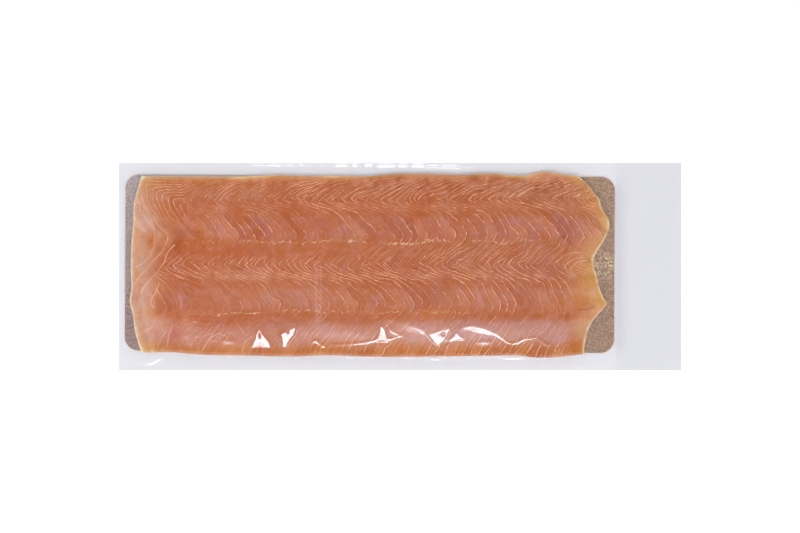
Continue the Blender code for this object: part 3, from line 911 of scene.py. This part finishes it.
FOLDED_ROWS = 76  # rows of points in the quarter along the belly, where the folds are
SMOOTH_ROWS = 44  # in the rest
FLANK_SLOPE = 1.6  # how steeply a facet's outside falls back to the fish
HOLLOW_SLOPE = 3.0  # how steeply its hollow does
pouch_low, pouch_high = (np.array(corner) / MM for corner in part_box("film_bottom"))
board_top = board_high.z / MM
on_board = board_top + CLING
on_web = LOWER_WEB + WEB_GAP

# Where the film stands off the fish it shows the lamp, wherever it leans as far as LAMP_LEAN.
# Facets are flat: their corners in turn, and a hollow in them as x, y, half width and half height,
# or none
LAMP_LEAN = 0.376
FACETS = (
    (((-136.4, -59), (-145.5, -78.6), (-125.5, -79)), (-136.1, -67.6, 0.3, 1.8)),
    (((-116.2, -65.5), (-114, -79), (-110.5, -78), (-103.8, -67), (-101.5, -57.5)),
     (-109.3, -63.6, 0.3, 1.8)),
    (((-18.6, -56), (-22.6, -74.6), (-11.5, -74.8), (-14.5, -61)), None),
    (((27, -66), (37.6, -78), (41, -74), (49.5, -58.5)), (41.4, -66.0, 1.3, 1.3)),
    (((45.5, -72.8), (61.5, -71.8), (55.5, -63.6)), None),
)
# Folds run along a line of knots: x, y, width of the flank, and its slope as a share of LAMP_LEAN,
# which is more where the fold runs aslant
CREASES = (
    ((-89, -77, 1.8, 0), (-86, -74.5, 2, 0.6), (-82, -72, 2.2, 1.1), (-78, -74.8, 2.2, 1.25),
     (-75, -77.5, 2.2, 1.25), (-73, -79, 2, 0)),
    ((-70, -75.8, 2.0, 0), (-62, -75.8, 2.2, 0.5), (-50, -75.2, 2.2, 0.55), (-36, -74, 2.0, 0.65),
     (-24, -72, 2.0, 0.92), (-16, -70.5, 2.4, 1), (-9, -70, 1.6, 0.95), (-1, -67.8, 1.2, 0.9),
     (2, -67.3, 1.2, 0)),
    ((-79, 6, 2.6, 0), (-79, 0, 3.2, 0.8), (-79, -40, 3.4, 0.85), (-79.5, -52, 3.4, 0.7),
     (-79.5, -66, 2.6, 0)),
    ((-204, -38, 8, 0), (-204, -47, 9, 0.5), (-204, -58, 9, 0.56), (-205, -68, 9, 0.5),
     (-206, -78, 8, 0)),
    ((-177, -72, 3, 0), (-171, -71.5, 4, 0.6), (-165, -71.8, 4, 0.6), (-158, -72.5, 3, 0)),
    ((-105, -59, 1.8, 0), (-103.2, -56.5, 2, 1.2), (-101.5, -53.5, 1.8, 0)),
    ((-60, -88.6, 1.2, 0), (-45, -88.8, 1.3, 0.8), (-10, -89.1, 1.4, 0.9), (20, -89.3, 1.5, 0.9),
     (37, -90.4, 1.6, 1), (50, -89.0, 1.7, 1.05), (90, -88.8, 1.7, 1.05), (125, -89.2, 1.6, 1.05),
     (145, -92, 1.4, 0)),
    ((-13, -54, 1.5, 0), (-11, -57, 1.6, 1.3), (-8, -61.5, 1.8, 1.35), (-4, -64.5, 2, 1.2),
     (1, -67.5, 1.6, 1), (3, -69, 1.4, 0)),
    ((-16, -53.5, 1.2, 0), (-13, -53.2, 1.6, 1), (-9, -52.2, 1.6, 1), (-7, -52, 1.2, 0)),
    ((42, -72, 1.2, 0), (46, -71, 1.4, 0.9), (51, -69, 1.8, 0.95), (56, -68.8, 2, 1), (61, -69, 1.6, 1),
     (63, -69.4, 1.2, 0)),
    ((56, -62, 2.6, 0), (62, -59.5, 3, 0.85), (70, -57.4, 4.2, 0.95), (76, -58.2, 4.8, 0.98),
     (84, -60.6, 4.2, 1), (91, -63.5, 3.4, 1.02), (97, -67.5, 2.8, 1.04), (104, -72.2, 2, 1.04),
     (110, -75, 1.6, 0.85), (115, -73, 2.4, 1), (121, -70.6, 2.2, 1), (127, -69.2, 1.8, 1),
     (132, -68.8, 1.5, 1), (136, -71, 1.6, 0.9), (141, -74.5, 2.4, 0.85), (147, -77.5, 2, 0)),
    ((72, -74, 2.6, 0), (78, -73.8, 3.0, 0.86), (85, -73.8, 3.0, 0.86), (92, -75, 2.4, 0)),
    ((-2, -54.5, 3, 0), (6, -56.5, 4.5, 0.8), (14, -58.5, 5, 0.82), (22, -61.5, 5, 0.82),
     (28, -65, 4, 0)),
    ((-251, -97.5, 1.6, 0), (-247, -95, 2.4, 1.05), (-241, -92, 2.8, 1.25), (-235, -89.5, 2.4, 1.45),
     (-229, -87, 1.4, 0)),
    ((168, -98.2, 1.4, 0), (174, -97.6, 1.8, 0.95), (182, -98.0, 1.4, 0)),
)
# Short folds in the back seal, where the two webs weren't laid quite flat: from x, to x, y and
# width. So far back the lamp is mirrored at a steeper lean
SEAL_SHARE = 1.14
SEAL_FOLDS = (
    (-145, -133, 99.8, 1.5), (-128, -116, 99.6, 1.6), (-111, -103, 99.5, 1.5), (-99, -94, 99.4, 1.7),
    (-90, -87, 99.4, 1.6), (-78, -74, 99.4, 1.6), (-63, -51, 99.5, 2.1), (-47, -41, 99.6, 2.4),
    (-35, -26, 101.0, 3.4), (-22, -5, 99.7, 3.0), (-2, 8, 99.4, 2.5), (11, 24, 99.2, 2.9),
    (26, 38, 97.6, 2.5), (40, 58, 97.0, 2.7), (64, 73, 96.0, 1.8), (134, 140, 96.6, 2.0),
)


def film_lines(edge, out, board_edge, pouch_edge):
    """Places of the film's lines beyond the fish on one side, given the fish's edge there, the way
    out (1 or -1), the board's edge and the pouch's: three lines for each bend, at its middle and a
    bend's half run to either side, two between on the board, and the flange shared out evenly."""
    board_bend = out * np.maximum(out * board_edge + PAST_BOARD, out * edge + FOOT + 2 * BEND)
    bends = (edge - out * OVER_EDGE, edge + out * FOOT, board_bend, board_bend + out * SECOND_DROP)
    over, onto, past, down = ([bend + out * step for step in (-BEND, 0, BEND)] for bend in bends)
    on_board = [onto[2] + (past[0] - onto[2]) * share for share in (0.33, 0.67)]
    steps = (np.arange(FLANGE_LINES) + 1) / FLANGE_LINES
    flange = [down[2] + (pouch_edge - down[2]) * step for step in steps]
    return over + onto + on_board + past + down + flange


# Over the fish the film is the fish's own surface, with its points closer where the folds are
edge_u = LEAVES_FISH / SALMON_LENGTH
edge_v = LEAVES_FISH / SALMON_WIDTH
column_share = np.linspace(0, 1, FILM_COLUMNS)
film_u = np.interp(column_share, (0, 0.09, 0.91, 1), (edge_u, 0.23, 0.91, 1 - edge_u))
near_belly = np.linspace(edge_v, 0.25, FOLDED_ROWS)
film_v = np.concatenate([near_belly, np.linspace(0.25, 1 - edge_v, SMOOTH_ROWS)[1:]])
over_fish = salmon_top(*np.meshgrid(film_u, film_v))
over_fish[..., 2] += CLING
row = np.clip(np.arange(len(film_v) + 2 * LINES) - LINES, 0, len(film_v) - 1)
column = np.clip(np.arange(len(film_u) + 2 * LINES) - LINES, 0, len(film_u) - 1)
web = over_fish[np.ix_(row, column)].copy()
board_ends = BOARD_CENTRE[0] + np.array([-0.5, 0.5]) * BOARD_SIZE[0]
board_middle = BOARD_CENTRE[1] + math.tan(BOARD_TURN) * (web[0, :, 0] - BOARD_CENTRE[0])
head_lines = film_lines(head_edge(film_v[row]), -1, board_ends[0], pouch_low[0])
tail_lines = film_lines(tail_edge(film_v[row]), 1, board_ends[1], pouch_high[0])
belly_lines = film_lines(
    belly_edge(film_u[column]), -1, board_middle - BOARD_SIZE[1] / 2, pouch_low[1])
back_lines = film_lines(back_edge(film_u[column]), 1, board_middle + BOARD_SIZE[1] / 2, pouch_high[1])
for k in range(LINES):
    web[:, LINES - 1 - k, 0] = head_lines[k]
    web[:, -LINES + k, 0] = tail_lines[k]
    web[LINES - 1 - k, :, 1] = belly_lines[k]
    web[-LINES + k, :, 1] = back_lines[k]

# The number of each point's line beyond the fish, counted from 1, and each line's height
lines_out = [
    np.maximum(LINES - np.arange(len(side)), np.arange(len(side)) - len(side) + LINES + 1)
    for side in (row, column)]
out = np.maximum(lines_out[0][:, None], lines_out[1])
x, y, height = web[..., 0], web[..., 1], web[..., 2]
over_bend = height - BRIDGE_SLOPE * (LEAVES_FISH - OVER_EDGE)
first_drop = (over_bend - on_board) / (OVER_EDGE + FOOT)
second_drop = (on_board - on_web) / SECOND_DROP
heights = [over_bend + BRIDGE_SLOPE * BEND, over_bend, over_bend - first_drop * BEND,
           on_board + first_drop * BEND, on_board, on_board, on_board, on_board,
           on_board, on_board, on_board - second_drop * BEND, on_web + second_drop * BEND]
heights += [on_web] * (LINES - len(heights))
heights = [np.broadcast_to(line_height, height.shape) for line_height in heights]
height[...] = np.select([out == k + 1 for k in range(LINES)], heights, height)


def shoulder_height(x, y):
    """How far the fish's shoulder has risen here from its belly edge."""
    return (FULL_THICKNESS - RIM_THICKNESS) * belly_rise(x, y - salmon_low[1])


def flank(t):
    """1 at a crest and straight down to 0 at t = 1: a soft maximum of 1 - t and 0."""
    return 0.1 * np.log1p(np.exp((1 - np.clip(t, 0, 9)) / 0.1))


def crease_rise(x, y, knots):
    """Height of a fold over the fish. With the width and share at the nearest place of its path, a
    flank that climbs at LAMP_LEAN up to the path and falls beyond it, less what the fish rises."""
    least = np.full(x.shape, FAR)
    crest_y, width, share = np.zeros(x.shape), np.ones(x.shape), np.zeros(x.shape)
    path = smooth_path(knots, 8)
    for start, end in zip(path, path[1:]):
        distance, t = to_span(x, y, start[:2], end[:2])
        nearer = distance < least
        least = np.where(nearer, distance, least)
        crest_y, width, share = (
            np.where(nearer, start[k] + (end[k] - start[k]) * t, kept)
            for k, kept in ((1, crest_y), (2, width), (3, share)))
    climbed = flank(np.sqrt((least / width) ** 2 + 0.01) - 0.1)
    foot = shoulder_height(x, crest_y - width)
    before = shoulder_height(x, np.clip(y, crest_y - width, crest_y)) - foot
    after = (shoulder_height(x, crest_y) - foot) * climbed
    rise = LAMP_LEAN * width * climbed - np.where(y < crest_y, before, after)
    return np.clip(share, 0, None) * np.clip(rise, 0, None)


def facet_rise(x, y, corners, hollow):
    """Height of a facet over the fish: a plane that climbs at LAMP_LEAN from its lowest corner, less
    a steep fall with the distance outside its edges, less the fish. Nothing in the hollow, and no
    more than a steep climb with the distance from it. Bends are soft maxima with 0."""
    corners = np.array(corners, dtype=float)
    inward = np.full(x.shape, FAR)
    nearest = np.full(x.shape, FAR)
    for start, end in zip(corners, np.roll(corners, -1, axis=0)):
        side = end - start
        nearest = np.minimum(nearest, to_span(x, y, start, end)[0])
        inward = np.minimum(inward, (y - start[1]) * side[0] - (x - start[0]) * side[1])
    outside = 0.2 * np.logaddexp(0, np.where(inward < 0, nearest, -nearest) / 0.2)
    low = corners[:, 1].min()
    fish_rise = shoulder_height(x, y) - shoulder_height(x, low)
    rise = LAMP_LEAN * (y - low) - fish_rise - FLANK_SLOPE * outside
    if hollow:
        middle_x, middle_y, half_width, half_height = hollow
        share_out = np.hypot((x - middle_x) / half_width, (y - middle_y) / half_height) + 1e-6
        beyond = np.hypot(x - middle_x, y - middle_y) * (1 - 1 / share_out)
        rise = np.minimum(rise, HOLLOW_SLOPE * beyond)
    return 0.1 * np.logaddexp(0, rise / 0.1)


# The folds aren't drawn with a ruler, so their paths are bent a little
bent_x = x + cloud(x, y, 9, 301) * 0.9
bent_y = y + cloud(x, y, 8, 302) * 0.7
rises = [crease_rise(bent_x, bent_y, knots) for knots in CREASES]
for start, end, at_y, width in SEAL_FOLDS:
    inset = width * 0.45  # the flank falls off round each end of the path too
    ends = ((start, 0), (start + inset, SEAL_SHARE), (end - inset, SEAL_SHARE), (end, 0))
    rises.append(crease_rise(x, y, [(at_x, at_y, width, share) for at_x, share in ends]))
rises += [facet_rise(bent_x, bent_y, *facet) for facet in FACETS]
SHARPNESS = 5
lift = np.zeros(x.shape)
for rise in rises:  # the greater of the two, blended
    lift = np.log(np.exp(SHARPNESS * lift) + np.exp(SHARPNESS * rise) - 1) / SHARPNESS
height += lift

faces, rim = sheet_faces(*x.shape)
upper = web.reshape(-1, 3)
lower = upper[rim].copy()
lower[:, 2] = LOWER_WEB
low_rim = len(upper) + np.arange(len(rim))
faces += ring_quads(low_rim, rim)
faces.append(low_rim[::-1].tolist())

# Clear laminated polyamide and polyethylene, cast and glossy: a clean mirror for the lamp at the
# right angle, more so at a glancing one, and next to nothing else. It is a thin sheet, so it lets
# light straight through instead of bending it
clear_film, tree, output = start_material("clear_laminated_film")
FACE_ON = 0.08  # light mirrored by both faces of the film
facing = add_node(tree, "LayerWeight", {"Blend": 0.5})
steep = add_node(tree, "Math", {0: facing.outputs["Facing"], 1: 5.0}, operation="POWER")
mirror = add_node(
    tree, "Math", {0: steep.outputs[0], 1: 1 - FACE_ON, 2: FACE_ON}, operation="MULTIPLY_ADD")
# Past the board the film is a little greyer, and greyer still in a band close beside the board's tail end,
# which is painted shade along that edge: where X and then Y change, in metres
PAST_BOARD_X = (0.209, 0.214)
SHADE_BESIDE_BOARD_X = (0.224, 0.212)
SHADE_BESIDE_BOARD_Y = (0.090, 0.076)
place = add_node(tree, "TexCoord").outputs["Object"]
apart = add_node(tree, "SeparateXYZ", {"Vector": place})
from_middle = add_node(tree, "Math", {0: apart.outputs["Y"]}, operation="ABSOLUTE").outputs[0]
shares = []
for source, (start, end) in (
        (apart.outputs["X"], PAST_BOARD_X), (apart.outputs["X"], SHADE_BESIDE_BOARD_X), (from_middle, SHADE_BESIDE_BOARD_Y)):
    shares.append(add_node(
        tree, "MapRange",
        {"Value": source, "From Min": start, "From Max": end, "To Min": 0.0, "To Max": 1.0}
    ).outputs["Result"])
painted_shade_beside_board = add_node(tree, "Math", {0: shares[1], 1: shares[2]}, operation="MULTIPLY")
far_tint = add_node(tree, "Mix", {0: painted_shade_beside_board.outputs[0]}, data_type="RGBA")
far_tint.inputs[6].default_value = (0.943, 0.937, 0.950, 1.0)
far_tint.inputs[7].default_value = (0.911, 0.901, 0.918, 1.0)
web_tint = add_node(tree, "Mix", {0: shares[0], 7: far_tint.outputs[2]}, data_type="RGBA")
web_tint.inputs[6].default_value = (0.959, 0.953, 0.964, 1.0)
through_film = add_node(tree, "BsdfTransparent", {"Color": web_tint.outputs[2]})
FILM_SHEEN = (0.84, 0.93, 1.0, 1.0)
gloss = add_node(tree, "BsdfAnisotropic", {"Color": FILM_SHEEN, "Roughness": 0.17})
haze = add_node(tree, "BsdfAnisotropic", {"Color": FILM_SHEEN, "Roughness": 0.38})
off_film = add_node(tree, "MixShader", {0: 0.25, 1: gloss.outputs["BSDF"], 2: haze.outputs["BSDF"]})
film_mix = add_node(
    tree, "MixShader",
    {0: mirror.outputs[0], 1: through_film.outputs["BSDF"], 2: off_film.outputs["Shader"]})
tree.links.new(film_mix.outputs["Shader"], output.inputs["Surface"])

pouch = add_piece("pouch_film", np.concatenate([upper, lower]) * MM, faces, clear_film)
pouch.data.set_sharp_from_angle(angle=math.radians(60))
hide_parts("film_top", "film_bottom")
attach(pouch, "root")

# ---------------------------------------------------------------------------------------------
# Table, light and camera: a plain white top, an even pale room, a long lamp across the belly side
# for the film to mirror, two softer ones, and a camera straight above the middle of the pouch.
# ---------------------------------------------------------------------------------------------
table_white, tree, output = start_material("white_table")
paint = add_node(
    tree, "BsdfPrincipled",
    {"Base Color": linear("#F9F9F9"), "Roughness": 0.9, "Specular IOR Level": 0.0})
tree.links.new(paint.outputs["BSDF"], output.inputs["Surface"])
TABLE_REACH = 3.0
TABLE_TOP = -0.0005
corners = [(x * TABLE_REACH, y * TABLE_REACH, TABLE_TOP) for x, y in ((-1, -1), (1, -1), (1, 1), (-1, 1))]
table = add_piece("table", corners, [[0, 1, 2, 3]], table_white)

# The room is evenly pale but for its ceiling above the camera, which flat film mirrors: the middle
# of that dark part, the cosines of its outer and inner edge, and the light outside and inside
DARK_CEILING = (0.03, 0.18, 0.983)
DARK_FROM, DARK_TO = 0.84, 0.985
PALE, DARK = 0.86, 0.18
room = bpy.data.worlds.new("pale_room")
room.use_nodes = True
tree = room.node_tree
direction = add_node(tree, "TexCoord").outputs["Generated"]
towards = add_node(tree, "VectorMath", {0: direction, 1: DARK_CEILING}, operation="DOT_PRODUCT")
ceiling = add_node(
    tree, "MapRange",
    {"Value": towards.outputs["Value"],
     "From Min": DARK_FROM, "From Max": DARK_TO, "To Min": PALE, "To Max": DARK},
    interpolation_type="SMOOTHSTEP")
tree.links.new(ceiling.outputs["Result"], tree.nodes["Background"].inputs["Strength"])
tree.nodes["Background"].inputs["Color"].default_value = (1.0, 1.0, 1.0, 1.0)
bpy.context.scene.world = room

# Lamps as name, tilt from straight above (to the belly side, or less than 0 to the back), size and
# radiance. The first two are only mirrored, in the film and the foil, and the broad one only lights
LAMP_DISTANCE = 6.0
LAMPS = (
    ("strip_lamp", 43, (5.0, 0.7), 20.0),
    ("soft_lamp", -55, (4.5, 1.5), 4.0),
    ("broad_lamp", 12, (5.0, 2.5), 5.16),
)
for name, tilt, size, radiance in LAMPS:
    lamp_data = bpy.data.lights.new(name, "AREA")
    lamp_data.shape = "RECTANGLE"
    lamp_data.size, lamp_data.size_y = size
    lamp_data.energy = radiance * math.pi * size[0] * size[1]
    lamp = bpy.data.objects.new(name, lamp_data)
    tilt = math.radians(tilt)
    lamp.location = (0, -LAMP_DISTANCE * math.sin(tilt), LAMP_DISTANCE * math.cos(tilt))
    lamp.rotation_euler = (tilt, 0, 0)
    lamp.visible_camera = False
    lamp.visible_diffuse = name == "broad_lamp"
    lamp.visible_glossy = name != "broad_lamp"
    bpy.context.scene.collection.objects.link(lamp)

FRAME_WIDTH = 0.781  # width seen at the height below
PACK_HEIGHT = 0.004
camera_data = bpy.data.cameras.new("camera")
camera_data.lens = 100
camera_data.sensor_width = 36
camera = bpy.data.objects.new("camera", camera_data)
camera.location = (0, 0, FRAME_WIDTH * camera_data.lens / camera_data.sensor_width + PACK_HEIGHT)
bpy.context.scene.collection.objects.link(camera)
bpy.context.scene.camera = camera
bpy.context.scene.view_settings.view_transform = "Standard"
